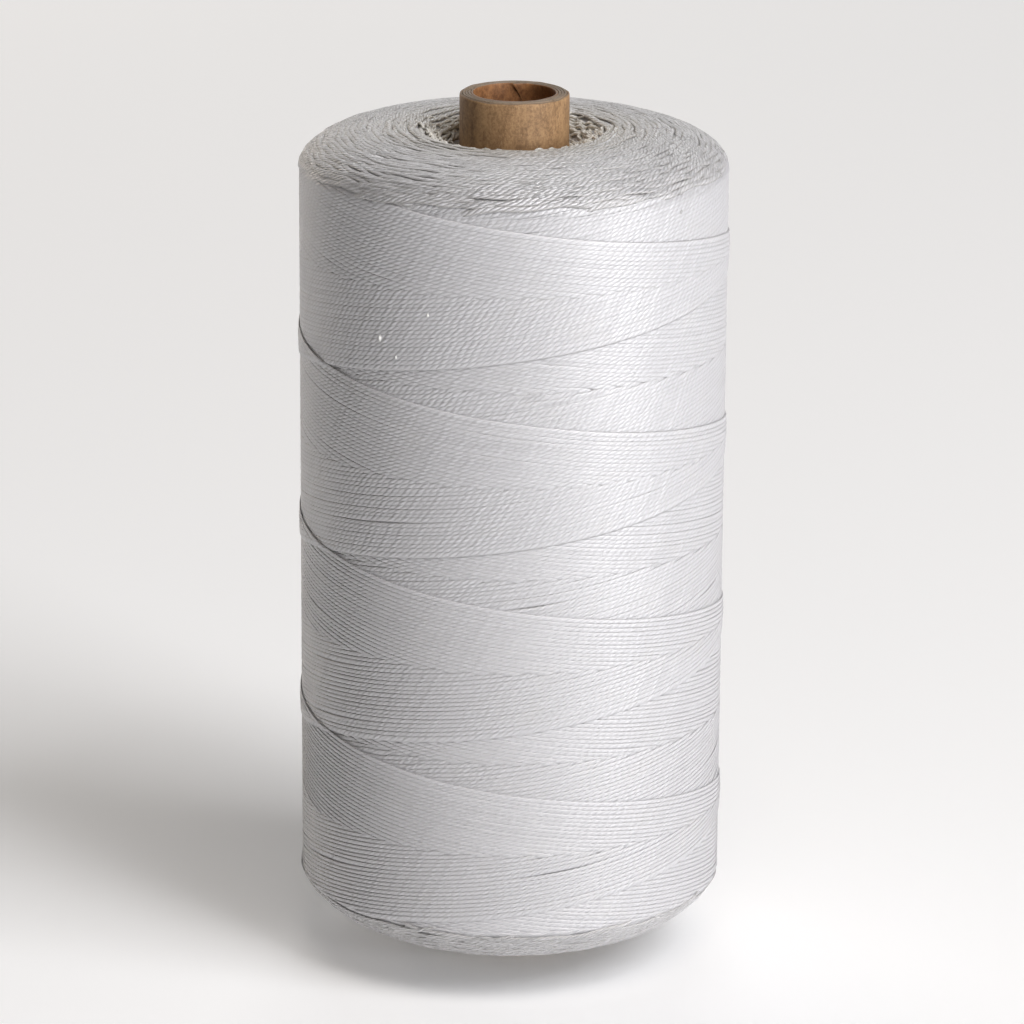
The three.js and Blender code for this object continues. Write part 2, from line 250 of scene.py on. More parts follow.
@dataclass(frozen=True)
class WaxedThreadFinish:
    """White three-ply thread under a thin coat of wax, in coordinates that run along it.

    A span gives the two values between which a share rises from 0 to 1. A share says how much
    of a colour shows at most. The lighter colour on the plies' crests is painted highlight, and
    the darker one in the grooves between plies is painted shade, which the fibre grain also
    mixes towards. The flanks between neighbouring threads carry painted shade; the flank is
    measured in turns round the thread. Towards the tube the thread darkens with painted shade
    and some stain; the deep colour's fading is measured in metres from the tube's axis, and glow
    is the light that passes through the skin.
    """

    name: str = "waxed_thread"
    # painted highlight: lighter colour on the plies' crests
    crown: Colour = (0.64, 0.632, 0.652, 1.0)
    # painted shade in the grooves between plies; the fibre grain also darkens towards this colour
    groove_shade_and_fibre: Colour = (0.56, 0.552, 0.57, 1.0)
    # painted shade: darker, browner colour on the flanks between neighbouring threads
    shaded_flank: Colour = (0.38, 0.35, 0.31, 1.0)
    flank_shade_share: float = 0.10
    flank_span: Span = (0.05, 0.17)
    stain: Colour = (0.59, 0.577, 0.57, 1.0)
    stain_share: float = 0.35
    # painted shade, partly stain: darker, browner thread towards the tube, less on the crowns
    deep_shade_and_stain: Colour = (0.42, 0.375, 0.28, 1.0)
    deep_radius: Span = (0.0, 1.0 * MM)
    deep_share: float = 0.85
    deep_on_crown: float = 0.4
    crown_span: Span = (0.10, 0.75)
    crown_chance: float = 0.55
    crown_on_flank: float = 0.4
    patches: Grain = Grain(1.6, 95.0)
    patch_span: Span = (0.50, 0.80)
    fibre_stretch: Span = (0.9, 22.0)
    fibre_detail: float = 4.0
    fibre_rough: float = 0.6
    fibre_span: Span = (0.62, 0.86)
    fibre_share: float = 0.35
    roughness: float = 0.40
    fibre_roughness: float = 0.22
    patch_roughness: float = 0.16
    specular: float = 1.0
    density: float = 1.6
    glow: float = 0.35
    glow_reach: float = 0.8 * MM
    relief: float = 0.12 * MM
    bead_on_flank: float = 0.7
    bead_spread: float = 0.8
    fibre_relief: float = 0.5
    bump_strength: float = 0.9

    def material(self) -> bpy.types.Material:
        """Make the node material.

        Returns:
            The material.
        """
        graph = Graph(self.name)
        run = graph.flow("ShaderNodeUVMap", "UV", {"uv_map": RUN_MAP}, {})
        split = graph.node("ShaderNodeSeparateXYZ", {}, {0: run})
        along = Flow(graph, split.outputs["X"])
        across = Flow(graph, split.outputs["Y"])
        twist = (across - along / (TWIST_LEAD / MM)) * PLIES
        ply = (twist * math.pi).cosine().size()
        count = graph.math("ROUND", twist)
        chance = graph.flow("ShaderNodeTexWhiteNoise", "Value", {"noise_dimensions": "1D"}, {"W": count})
        # the flanks between threads, which take painted shade and a weaker painted highlight
        shaded_flank = across.size().over(*self.flank_span)
        # mask of the painted highlight on the plies' crests, weaker on the flanks
        crown = ply.over(*self.crown_span) * (1.0 - (1.0 - self.crown_on_flank) * shaded_flank)
        fibre_scale = (*self.fibre_stretch, 1.0)
        stretched = graph.flow("ShaderNodeMapping", "Vector", {}, {"Vector": run, "Scale": fibre_scale})
        fibre = graph.noise(stretched, 1.0, self.fibre_detail, self.fibre_rough)
        patch = graph.grain(self.patches)
        plain = 1.0 - self.crown_chance
        # painted highlight on the plies' crests over painted shade in the grooves, stronger on some plies
        # at random
        colour = graph.blend(crown * (plain + self.crown_chance * chance), self.groove_shade_and_fibre, self.crown)
        # painted shade on the flanks between neighbouring threads
        colour = graph.blend(shaded_flank * self.flank_shade_share, colour, self.shaded_flank)
        colour = graph.blend(patch.over(*self.patch_span) * self.stain_share, colour, self.stain)
        colour = graph.blend(fibre.over(*self.fibre_span) * self.fibre_share, colour, self.groove_shade_and_fibre)
        # painted shade, partly stain: darker towards the tube's axis, less on the crowns
        level = {0: graph.place((1.0, 1.0, 0.0))}
        radius = graph.flow("ShaderNodeVectorMath", "Value", {"operation": "LENGTH"}, level)
        depth = 1.0 - radius.over(*self.deep_radius)
        depth = depth * (1.0 - (1.0 - self.deep_on_crown) * crown)
        colour = graph.blend(depth * self.deep_share, colour, self.deep_shade_and_stain)
        rough = self.roughness + (fibre - 0.5) * self.fibre_roughness
        rough = rough + (patch - 0.5) * self.patch_roughness + (chance - 0.5) * self.patch_roughness
        bead = ply * (1.0 - (1.0 - self.bead_on_flank) * shaded_flank)
        bead = bead * (1.0 - self.bead_spread / 2 + self.bead_spread * chance)
        height = bead + (fibre - 0.5) * self.fibre_relief
        return graph.finish(
            {
                "Base Color": colour,
                "Roughness": rough,
                "Normal": graph.bump(height, self.bump_strength, self.relief),
                "IOR": self.density,
                "Specular IOR Level": self.specular,
                "Subsurface Weight": self.glow,
                "Subsurface Radius": (1.0, 1.0, 1.0),
                "Subsurface Scale": self.glow_reach,
            }
        )


@dataclass(frozen=True)
class KraftFinish:
    """Brown paper board: mottled, fibrous, streaked along the tube, and duller on its sawn rims.

    The mottle gives the shares of streaks, clouds and grain in the tone, and the weave those of
    grain and streaks in the relief.
    """

    name: str
    pale: Colour
    dark: Colour
    fleck: Colour
    cut: Colour = (0.19, 0.143, 0.10, 1.0)
    tone_span: Span = (0.10, 0.90)
    fleck_span: Span = (0.60, 0.75)
    fleck_share: float = 0.4
    sawn_span: Span = (0.55, 0.95)
    cut_span: Span = (0.25, 0.65)
    streaks: Grain = Grain(0.30, 420.0, rough=0.6)
    clouds: Grain = Grain(0.7, 170.0)
    grain: Grain = Grain(0.8, 1500.0, rough=0.7)
    fibres: Grain = Grain(0.25, 3200.0, 2.0, 0.7)
    mottle: tuple[float, float, float] = (0.8, 0.6, 1.2)
    roughness: float = 0.62
    cloud_roughness: float = 0.3
    grain_roughness: float = 0.2
    specular: float = 0.45
    relief: float = 0.12 * MM
    weave: Span = (0.6, 0.4)
    bump_strength: float = 0.5

    def material(self) -> bpy.types.Material:
        """Make the node material.

        Returns:
            The material.
        """
        graph = Graph(self.name)
        streaks, clouds, grain, fibres = (
            graph.grain(kind) for kind in (self.streaks, self.clouds, self.grain, self.fibres)
        )
        streaky, cloudy, grainy = self.mottle
        tone = (streaks - 0.5) * streaky + (clouds - 0.5) * cloudy + (grain - 0.5) * grainy + 0.5
        colour = graph.blend(tone.over(*self.tone_span), self.dark, self.pale)
        colour = graph.blend(fibres.over(*self.fleck_span) * self.fleck_share, colour, self.fleck)
        facing = graph.flow("ShaderNodeNewGeometry", "Normal", {}, {})
        upward = graph.node("ShaderNodeSeparateXYZ", {}, {0: facing}).outputs["Z"]
        sawn = Flow(graph, upward).size().over(*self.sawn_span)
        colour = graph.blend(sawn * (grain.over(*self.cut_span) * 0.5 + 0.5), colour, self.cut)
        rough = self.roughness + (clouds - 0.5) * self.cloud_roughness
        rough = rough + (grain - 0.5) * self.grain_roughness
        height = grain * self.weave[0] + streaks * self.weave[1]
        return graph.finish(
            {
                "Base Color": colour,
                "Roughness": rough,
                "Normal": graph.bump(height, self.bump_strength, self.relief),
                "Specular IOR Level": self.specular,
            }
        )


@dataclass(frozen=True)
class CrumbFinish:
    """A clinging crumb: pale, smooth wax, or a dull grey speck."""

    name: str = "wax_crumb"
    colour: Colour = (0.90, 0.90, 0.87, 1.0)
    cloud: Colour = (0.80, 0.79, 0.74, 1.0)
    roughness: float = 0.3
    coat: float = 0.3
    clouds: Grain = Grain(1.0, 1500.0)
    cloud_span: Span = (0.35, 0.70)
    cloud_roughness: float = 0.1
    relief: float = 0.05 * MM
    bump_strength: float = 0.3

    def material(self) -> bpy.types.Material:
        """Make the node material.

        Returns:
            The material.
        """
        graph = Graph(self.name)
        clouds = graph.grain(self.clouds)
        return graph.finish(
            {
                "Base Color": graph.blend(clouds.over(*self.cloud_span), self.colour, self.cloud),
                "Roughness": self.roughness + (clouds - 0.5) * self.cloud_roughness,
                "Normal": graph.bump(clouds, self.bump_strength, self.relief),
                "Coat Weight": self.coat,
            }
        )


@dataclass(frozen=True)
class FloorFinish:
    """Plain pale studio floor."""

    name: str = "studio_floor"
    colour: Colour = (0.93, 0.93, 0.93, 1.0)
    roughness: float = 0.8
    grain_roughness: float = 0.1
    grain: Grain = Grain(1.0, 60.0, 2.0)
    glow: float = 0.09

    def material(self) -> bpy.types.Material:
        """Make the node material.

        Returns:
            The material.
        """
        graph = Graph(self.name)
        return graph.finish(
            {
                "Base Color": self.colour,
                "Roughness": self.roughness + (graph.grain(self.grain) - 0.5) * self.grain_roughness,
                "Emission Color": (1.0, 1.0, 1.0, 1.0),
                "Emission Strength": self.glow,
            }
        )


SIDE_THREAD = WaxedThreadFinish()
END_THREAD = WaxedThreadFinish(
    name="thread_ends",
    # painted highlight and shade: crown and ply-groove colours further apart than on the side
    crown=(0.67, 0.66, 0.68, 1.0),
    groove_shade_and_fibre=(0.45, 0.44, 0.44, 1.0),
    # more painted shade on the flanks between threads than on the side
    flank_shade_share=0.25,
    # painted shade, partly stain, on the dome near the crater
    deep_radius=(20.0 * MM, 36.0 * MM),
    deep_share=0.6,
    roughness=0.34,
    relief=0.22 * MM,
)
CORE_THREAD = WaxedThreadFinish(
    name="thread_core",
    # painted highlight on the crowns and painted shade in the ply grooves of the warmer core thread
    crown=(0.84, 0.825, 0.80, 1.0),
    groove_shade_and_fibre=(0.68, 0.65, 0.58, 1.0),
    # painted shade, partly stain, towards the tube in the funnel
    deep_shade_and_stain=(0.66, 0.595, 0.47, 1.0),
    deep_radius=(14.0 * MM, 26.0 * MM),
    deep_share=0.7,
    relief=0.17 * MM,
)
KRAFT_FACE = KraftFinish(
    "kraft_face", (0.43, 0.262, 0.127, 1.0), (0.19, 0.104, 0.047, 1.0), (0.55, 0.39, 0.22, 1.0)
)
KRAFT_EDGE = KraftFinish(
    "kraft_edge", (0.34, 0.25, 0.165, 1.0), (0.18, 0.125, 0.082, 1.0), (0.44, 0.36, 0.27, 1.0)
)
KRAFT_LINER = KraftFinish(
    "kraft_liner", (0.40, 0.185, 0.070, 1.0), (0.17, 0.070, 0.026, 1.0), (0.46, 0.28, 0.14, 1.0)
)
WAX = CrumbFinish()
# small dull grey specks on the thread
GREY_SPECK = CrumbFinish("grey_speck", (0.47, 0.46, 0.46, 1.0), (0.36, 0.355, 0.35, 1.0), 0.8, 0.0)


# ---- Modelling helpers ------------------------------------------------------


def deselect() -> None:
    """Leave nothing selected."""
    bpy.ops.object.select_all(action="DESELECT")


def take(*pieces: bpy.types.Object) -> None:
    """Make some pieces the only selected ones, and the first one active.

    Args:
        pieces: The pieces.
    """
    deselect()
    for piece in pieces:
        piece.select_set(True)
    bpy.context.view_layer.objects.active = pieces[0]


def edit_all(piece: bpy.types.Object) -> None:
    """Open a piece in edit mode with everything selected.

    Args:
        piece: The piece.
    """
    take(piece)
    bpy.ops.object.mode_set(mode="EDIT")
    bpy.ops.mesh.select_all(action="SELECT")


def settle(piece: bpy.types.Object) -> None:
    """Move a piece's place, turn and scale into its mesh."""
    take(piece)
    bpy.ops.object.transform_apply(location=True, rotation=True, scale=True)


def dress(piece: bpy.types.Object, material: bpy.types.Material, slot: str, nodes: Sequence[str]) -> None:
    """Dress a finished piece and tie it to the frame.

    Args:
        piece: The finished mesh object.
        material: Its finish.
        slot: The record's material slot; not used.
        nodes: The CAD nodes that it stands for.
    """
    piece.data.materials.clear()
    piece.data.materials.append(material)
    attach(piece, ROOT_BODY)
    if nodes:
        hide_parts(*nodes)
    log.info("%s: %d faces", piece.name, len(piece.data.polygons))


def smooth_rise(share: np.ndarray) -> np.ndarray:
    """Smooth step of values clamped between 0 and 1."""
    clamped = np.clip(share, 0.0, 1.0)
    return clamped * clamped * (3.0 - 2.0 * clamped)


# ---- Outline of the winding -------------------------------------------------


class End(Enum):
    """The two ends of the spool, with the direction that leads out of it."""

    LOW = -1
    HIGH = 1


@dataclass
class PackageOutline:
    """Half outline of the winding, walked from the lower funnel over the side to the upper one.

    The walk is measured so that it equals the height on the straight side.

    Attributes:
        radius: Mean radius over the thread.
        shown_low: Length of tube that stands out under the winding.
        shown_high: The same over it.
        dome_low: Rise of the lower end face from shoulder to crest.
        dome_high: The same of the upper one.
        shoulder_power: How late the end faces fall off towards the side.
        round_low: How full the lower shoulder is.
        round_high: How full the upper one is.
        crater_radius: Radius of the funnel's lip.
        crater_depth: Depth of the funnel.
        crater_power: How softly the lip rolls into it.
        samples: Points on each dome, twice as many as in each funnel.
        tube_radius: Outer radius of the tube.
        side_low: Height where the straight side begins.
        side_high: Height where it ends.
        walk: Length walked up to each point.
        points: Radius and height of each point.
        normals: Its outward normal.
    """

    radius: float = 50.0 * MM
    shown_low: float = 7.5 * MM
    shown_high: float = 8.8 * MM
    dome_low: float = 11.0 * MM
    dome_high: float = 8.7 * MM
    shoulder_power: float = 3.2
    round_low: float = 1.1
    round_high: float = 1.75
    crater_radius: float = 22.5 * MM
    crater_depth: float = 7.5 * MM
    crater_power: float = 1.5
    samples: int = 600
    tube_radius: float = field(init=False)
    side_low: float = field(init=False)
    side_high: float = field(init=False)
    walk: np.ndarray = field(init=False)
    points: np.ndarray = field(init=False)
    normals: np.ndarray = field(init=False)

    def __post_init__(self) -> None:
        """Take the tube from the frame and tabulate the walk."""
        lowest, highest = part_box("tube_face_ply")
        self.tube_radius = highest.x
        self.side_low = lowest.z + self.shown_low + self.dome_low
        self.side_high = highest.z - self.shown_high - self.dome_high
        low = self._end(End.LOW)
        high = self._end(End.HIGH)
        points = np.vstack([low[::-1], high])
        pieces = np.hypot(*np.diff(points, axis=0).T)
        walk = np.concatenate([[0.0], np.cumsum(pieces)])
        walk += self.side_low - walk[len(low) - 1]
        self.walk, self.points = walk, points
        tangent = np.gradient(points, walk, axis=0)
        tangent /= np.linalg.norm(tangent, axis=1)[:, None]
        self.normals = np.stack([tangent[:, 1], -tangent[:, 0]], axis=1)

    def _end(self, end: End) -> np.ndarray:
        """Outline points from the side over the dome and down the funnel to the tube.

        Args:
            end: The end of the spool.

        Returns:
            Rows of radius and height.
        """
        rise, fullness, side = (
            (self.dome_low, self.round_low, self.side_low)
            if end is End.LOW
            else (self.dome_high, self.round_high, self.side_high)
        )
        angle = np.linspace(0.0, math.pi / 2, self.samples)
        span = self.radius - self.crater_radius
        dome_r = self.crater_radius + span * np.cos(angle)
        lift = rise * (1.0 - np.cos(angle) ** self.shoulder_power) ** (1.0 / fullness)
        inward = np.linspace(0.0, 1.0, self.samples // 2)[1:]
        crater_r = self.crater_radius - inward * (self.crater_radius - self.tube_radius)
        sunk = rise - self.crater_depth * inward**self.crater_power
        radii = np.concatenate([dome_r, crater_r])
        return np.stack([radii, side + end.value * np.concatenate([lift, sunk])], axis=1)

    def at(self, walk: np.ndarray) -> tuple[np.ndarray, np.ndarray, np.ndarray, np.ndarray]:
        """Follow the outline.

        Args:
            walk: Places of the walk.

        Returns:
            The radius and the height there, and the outward normal's share out and up.
        """
        columns = (self.points[:, 0], self.points[:, 1], self.normals[:, 0], self.normals[:, 1])
        radius, height, out, up = (np.interp(walk, self.walk, column) for column in columns)
        length = np.hypot(out, up)
        return radius, height, out / length, up / length


# ---- Thread -----------------------------------------------------------------


@dataclass
class Run:
    """One visible stretch of thread on the winding.

    Attributes:
        azimuth: Azimuths of its stations, in degrees, rising.
        walk: Places of its stations on the outline's walk.
        lift: Heights of its crown over the mean surface.
        phase: Where the twist starts, in turns.
    """

    azimuth: np.ndarray
    walk: np.ndarray
    lift: np.ndarray
    phase: float


@dataclass
class ThreadSection:
    """The laid-up thread: three plies twisted together, drawn as a ribbed D-shaped section.

    Attributes:
        width: Its width, which laps over its neighbours.
        height: Its height.
        groove: Depth of the groove between two plies, as a share of the section.
        step: Distance between two stations.
        unevenness: How far the twist runs ahead and behind, in turns.
        drift: Length over which it does so.
        drift_shift: How far that wave is shifted for each turn of the run's phase.
        wrap: How far the twist turns over the section, as a share of the true angle.
        spoke_angles: Places of the section's corners, in degrees from its crown.
    """

    width: float = 1.86 * MM
    height: float = 0.46 * MM
    groove: float = 0.11
    step: float = 0.67 * MM
    unevenness: float = 0.05
    drift: float = 9.0 * MM
    drift_shift: float = 3.0
    wrap: float = 1.4
    spoke_angles: tuple[float, ...] = (-84.0, -40.0, -20.0, 0.0, 20.0, 40.0, 84.0)

    def stations(self, length: float) -> int:
        """How many stations a stretch of that length has."""
        return max(4, int(math.ceil(length / self.step)) + 1)

    def mesh(self, name: str, runs: Iterable[Run], outline: PackageOutline) -> bpy.types.Object:
        """Build one object from many stretches of thread.

        Args:
            name: The object's name.
            runs: The stretches.
            outline: The surface that they lie on.

        Returns:
            The new object, linked to the scene.
        """
        angles = np.radians(np.array(self.spoke_angles))
        spokes = len(angles)
        corners, quads, caps, uvs = [], [], [], []
        base = 0
        for run in runs:
            points, normal, side, along = self._spine(run, outline)
            wound = along / TWIST_LEAD + run.phase
            wound = wound + self.unevenness * np.sin(along / self.drift + self.drift_shift * run.phase)
            turn = self.wrap * angles[None, :] - 2 * math.pi * wound[:, None]
            rib = np.abs(np.cos(0.5 * PLIES * turn))
            reach = 1.0 - self.groove * (1.0 - rib)
            upward = 0.5 * self.height * reach * np.cos(angles)
            sideways = 0.5 * self.width * reach * np.sin(angles)
            ring = (
                points[:, None, :]
                + upward[:, :, None] * normal[:, None, :]
                + sideways[:, :, None] * side[:, None, :]
            )
            corners.append(ring.reshape(-1, 3))
            stretch = (wound * TWIST_LEAD / MM)[:, None]
            around = np.broadcast_to(self.wrap * angles / (2 * math.pi), reach.shape)
            uvs.append(np.stack([np.broadcast_to(stretch, reach.shape), around], axis=2).reshape(-1, 2))
            count = len(points)
            first = base + spokes * np.arange(count - 1)[:, None] + np.arange(spokes)[None, :]
            turned = np.roll(first, -1, axis=1)
            quads.append(
                np.stack([first, first + spokes, turned + spokes, turned], axis=2).reshape(-1, 4)
            )
            ring_ids = np.arange(spokes)
            caps.append(base + ring_ids)
            caps.append(base + spokes * (count - 1) + ring_ids[::-1])
            base += count * spokes
        return self._object(name, np.vstack(corners), np.vstack(quads), np.vstack(caps), np.vstack(uvs))

    def _spine(
        self, run: Run, outline: PackageOutline
    ) -> tuple[np.ndarray, np.ndarray, np.ndarray, np.ndarray]:
        """Lay a stretch's centre line on the outline.

        Args:
            run: The stretch.
            outline: The surface that it lies on.

        Returns:
            Its points, their surface normals and sideways directions, and its length up to each.
        """
        radius, height, out, up = outline.at(run.walk)
        turn = np.radians(run.azimuth)
        ray = np.stack([np.sin(turn), -np.cos(turn), np.zeros_like(turn)], axis=1)
        normal = ray * out[:, None]
        normal[:, 2] = up
        points = ray * radius[:, None]
        points[:, 2] = height
        points = points + normal * (run.lift - 0.5 * self.height)[:, None]
        tangent = np.gradient(points, axis=0)
        length = np.linalg.norm(tangent, axis=1)
        tangent /= length[:, None]
        normal -= tangent * np.sum(normal * tangent, axis=1)[:, None]
        normal /= np.linalg.norm(normal, axis=1)[:, None]
        side = np.cross(normal, tangent)
        pieces = np.linalg.norm(np.diff(points, axis=0), axis=1)
        along = np.concatenate([[0.0], np.cumsum(pieces)])
        return points, normal, side, along

    def _object(
        self, name: str, corners: np.ndarray, quads: np.ndarray, caps: np.ndarray, uvs: np.ndarray
    ) -> bpy.types.Object:
        """Turn arrays into a smooth mesh object with its run map.

        Args:
            name: The object's name.
            corners: Places of the corners.
            quads: Corner numbers of the skin's faces.
            caps: Corner numbers of the end faces.
            uvs: The run map, corner by corner.

        Returns:
            The new object, linked to the scene.
        """
        mesh = bpy.data.meshes.new(name)
        mesh.vertices.add(len(corners))
        mesh.vertices.foreach_set("co", corners.astype(np.float32).ravel())
        loops = np.concatenate([quads.ravel(), caps.ravel()]).astype(np.int32)
        sizes = np.concatenate([np.full(len(quads), 4), np.full(len(caps), len(self.spoke_angles))])
        mesh.loops.add(len(loops))
        mesh.loops.foreach_set("vertex_index", loops)
        mesh.polygons.add(len(sizes))
        starts = np.concatenate([[0], np.cumsum(sizes)[:-1]]).astype(np.int32)
        mesh.polygons.foreach_set("loop_start", starts)
        mesh.polygons.foreach_set("use_smooth", np.ones(len(sizes), dtype=bool))
        layer = mesh.uv_layers.new(name=RUN_MAP)
        layer.data.foreach_set("uv", uvs[loops].astype(np.float32).ravel())
        mesh.update(calc_edges=True)
        piece = bpy.data.objects.new(name, mesh)
        bpy.context.scene.collection.objects.link(piece)
        return piece


SIDE_SECTION = ThreadSection()
LOOP_SECTION = ThreadSection(width=1.6 * MM, height=0.72 * MM, groove=0.20, step=0.80 * MM)
SLACK_SECTION = ThreadSection(width=1.2 * MM, height=0.95 * MM, groove=0.34, step=0.70 * MM)


class Stroke(Enum):
    """Which way a stroke runs on the winding, seen from outside and followed to the right."""

    RISING = 1
    FALLING = -1


@dataclass(frozen=True)
class Parting:
    """A place where two neighbouring strokes part.

    Attributes:
        between: Number of the stroke that it lies over, plus a half.
        middle: Its middle, as a share of the way from the diamond's left to its waist.
        half: Its half length, in the same share.
        width: Its width, as a share of the widest.
    """

    between: float
    middle: float
    half: float
    width: float


@dataclass
class OuterLay:
    """The outermost lay of cross-wound thread.

    The newest rising and the newest falling stroke divide the side into diamonds. A diamond's
    lower half shows rising strokes and its upper half falling ones, and every stroke dives
    under the other family at the diamond's waist.

    Attributes:
        outline: The surface that the lay follows.
        section: The thread.
        turns_per_stroke: Turns from one end to the other.
        last_turnround: Azimuth of the last turn-round at the upper shoulder, in degrees.
        stroke_rise: Step that the newest stroke makes over the oldest.
        end_relief: Share of that step that is left at the turn-rounds.
        columns: Sides of the solid's polygon, on whose corners the strokes cross.
        shoulder_rows_low: Rows of the solid's facets from the side to the lower turn-rounds.
        shoulder_rows_high: The same at the upper ones.
        strokes: Strokes of one family in a diamond.
        phase_step: Mean change of the twist's phase from stroke to stroke, in turns.
        phase_spread: Its spread.
        band_phase: Change of that phase from diamond to diamond.
        spacing_spread: Spread of the distance between strokes, as a share.
        wander: How far a stroke strays from its line.
        wander_waves: Rate of each wave of that straying, and its shift from stroke to stroke.
        height_spread: Spread of the strokes' heights.
        edge_drop: How much lower a diamond's outermost stroke lies.
        edge_reach: How many strokes share in that.
        openings: Places in a half diamond where strokes part.
        opening_width: How wide they part at most.
        opening_reach: How many strokes share in a parting.
        opening_middle: Range of its middle, from the diamond's left to its waist.
        opening_half: Range of its half length, in the same share.
        opening_share: Range of its width, as a share of the widest.
        under_step: Length that starts hidden under the step at the left.
        dive_length: Length over which a stroke dives at the waist.
        dive_lead: How far up that dive a rising and a falling stroke are at the waist.
        tail: Length that runs on under the other family.
        turn_softness: Radius, about, of the bend at a turn-round.
        turn_slack: How far it reaches past the solid's turn-rounds.
        seed: Seed of every chance in the lay.
        bands: Half pitches from one end to the other.
        pitch: Height of a diamond.
        low: Place on the walk of the lower turn-rounds.
        high: Place of the upper ones.
        places: Each family's strokes, as shares of the pitch.
        heights: Their heights over the lay.
        phases: Their phases, in turns.
        partings: The partings of each half diamond.
    """

    outline: PackageOutline
    section: ThreadSection
    turns_per_stroke: int = 4
    last_turnround: float = -60.0
    stroke_rise: float = 0.5 * MM
    end_relief: float = 0.3
    columns: int = 48
    shoulder_rows_low: int = 3
    shoulder_rows_high: int = 4
    strokes: int = 44
    phase_step: float = -0.110
    phase_spread: float = 0.035
    band_phase: float = 0.41
    spacing_spread: float = 0.05
    wander: float = 0.035 * MM
    wander_waves: tuple[Span, ...] = ((2.3, 1.7), (5.1, 4.1))
    height_spread: float = 0.018 * MM
    edge_drop: float = 0.17 * MM
    edge_reach: float = 2.6
    openings: int = 4
    opening_width: float = 0.85 * MM
    opening_reach: float = 3.0
    opening_middle: Span = (0.0, 0.9)
    opening_half: Span = (0.08, 0.28)
    opening_share: Span = (0.5, 1.0)
    under_step: float = 5.0 * MM
    dive_length: float = 5.0 * MM
    dive_lead: Span = (0.5, 0.1)
    tail: float = 3.0 * MM
    turn_softness: float = 0.45 * MM
    turn_slack: float = 0.3 * MM
    seed: int = 11
    bands: int = field(init=False)
    pitch: float = field(init=False)
    low: float = field(init=False)
    high: float = field(init=False)
    places: dict[Stroke, np.ndarray] = field(init=False, default_factory=dict)
    heights: dict[Stroke, np.ndarray] = field(init=False, default_factory=dict)
    phases: dict[Stroke, np.ndarray] = field(init=False, default_factory=dict)
    partings: dict[tuple[int, Stroke], list[Parting]] = field(init=False)

    def __post_init__(self) -> None:
        """Work out the winding pitch, the turn-rounds and every stroke's place."""
        self.bands = 2 * self.turns_per_stroke
        rows = self.bands * self.columns // 2 - self.shoulder_rows_low - self.shoulder_rows_high
        row = (self.outline.side_high - self.outline.side_low) / rows
        self.pitch = row * self.columns
        self.low = self.outline.side_low - self.shoulder_rows_low * row
        self.high = self.outline.side_high + self.shoulder_rows_high * row
        draw = np.random.default_rng(self.seed)
        for stroke in Stroke:
            gaps = 1.0 + self.spacing_spread * np.clip(draw.standard_normal(self.strokes), -2.0, 2.0)
            ends = np.cumsum(gaps) / np.sum(gaps)
            self.places[stroke] = ends - 0.5 * gaps / np.sum(gaps)
            self.heights[stroke] = self.height_spread * draw.standard_normal(self.strokes)
            drawn = self.phase_step + self.phase_spread * draw.standard_normal(self.strokes)
            self.phases[stroke] = np.cumsum(drawn)
        self.partings = {
            (band, stroke): [self._parting(draw) for _ in range(self.openings)]
            for band in range(-1, self.bands)
            for stroke in Stroke
        }

    def _parting(self, draw: np.random.Generator) -> Parting:
        """Draw a place where two neighbouring strokes part.

        Args:
            draw: The source of chance.

        Returns:
            The place.
        """
        between = 0.5 + draw.integers(2, self.strokes - 3)
        middle = draw.uniform(*self.opening_middle)
        half = draw.uniform(*self.opening_half)
        return Parting(between, middle, half, draw.uniform(*self.opening_share))

    def _parted(self, band: int, stroke: Stroke, number: int, along: np.ndarray) -> np.ndarray:
        """How far the partings of a diamond push a stroke along the outline.

        Args:
            band: The diamond's number.
            stroke: The family.
            number: The stroke in its family.
            along: Its stations, from the diamond's left to its waist.

        Returns:
            The push at each station.
        """
        shift = np.zeros_like(along)
        for parting in self.partings[band, stroke]:
            off = number - parting.between
            near = np.exp(-abs(off) / self.opening_reach) * np.sign(off)
            window = smooth_rise(1.0 - np.abs(along - parting.middle) / parting.half)
            push = 0.5 * self.opening_width * parting.width * near * window
            shift = np.where(np.abs(push) > np.abs(shift), push, shift)
        return shift

    def build(self, material: bpy.types.Material) -> None:
        """Build and dress one piece for each band of diamonds.

        Args:
            material: The thread's finish.
        """
        for band in range(-1, self.bands):
            piece = self.section.mesh(f"thread_lay_band_{band + 2}", self._runs(band), self.outline)
            dress(piece, material, "waxed_thread", ["thread_outer_lay"])

    def crown(self, azimuth: float, walk: float) -> float:
        """Radius of the lay's surface at a place of the side.

        Args:
            azimuth: The place's azimuth, in degrees.
            walk: Its place on the outline's walk.

        Returns:
            The radius over the threads there.
        """
        for band in range(-1, self.bands):
            across = (azimuth - self.last_turnround - 180.0 * band + 180.0) % 360.0 - 180.0
            corner = self.low + band * self.pitch / 2.0
            edge = abs(across) * self.pitch / 360.0
            if corner + edge <= walk <= corner + self.pitch - edge:
                return self.outline.radius + self.stroke_rise * across / 180.0
        return self.outline.radius

    def _runs(self, band: int) -> Iterable[Run]:
        """Every stretch of thread that shows in one band's diamond.

        Args:
            band: The diamond's number.

        Yields:
            The stretches, family by family.
        """
        for stroke in Stroke:
            if (band == -1 and stroke is Stroke.RISING) or (
                band == self.bands - 1 and stroke is Stroke.FALLING
            ):
                continue
            for number in range(self.strokes):
                yield self._run(band, stroke, number)

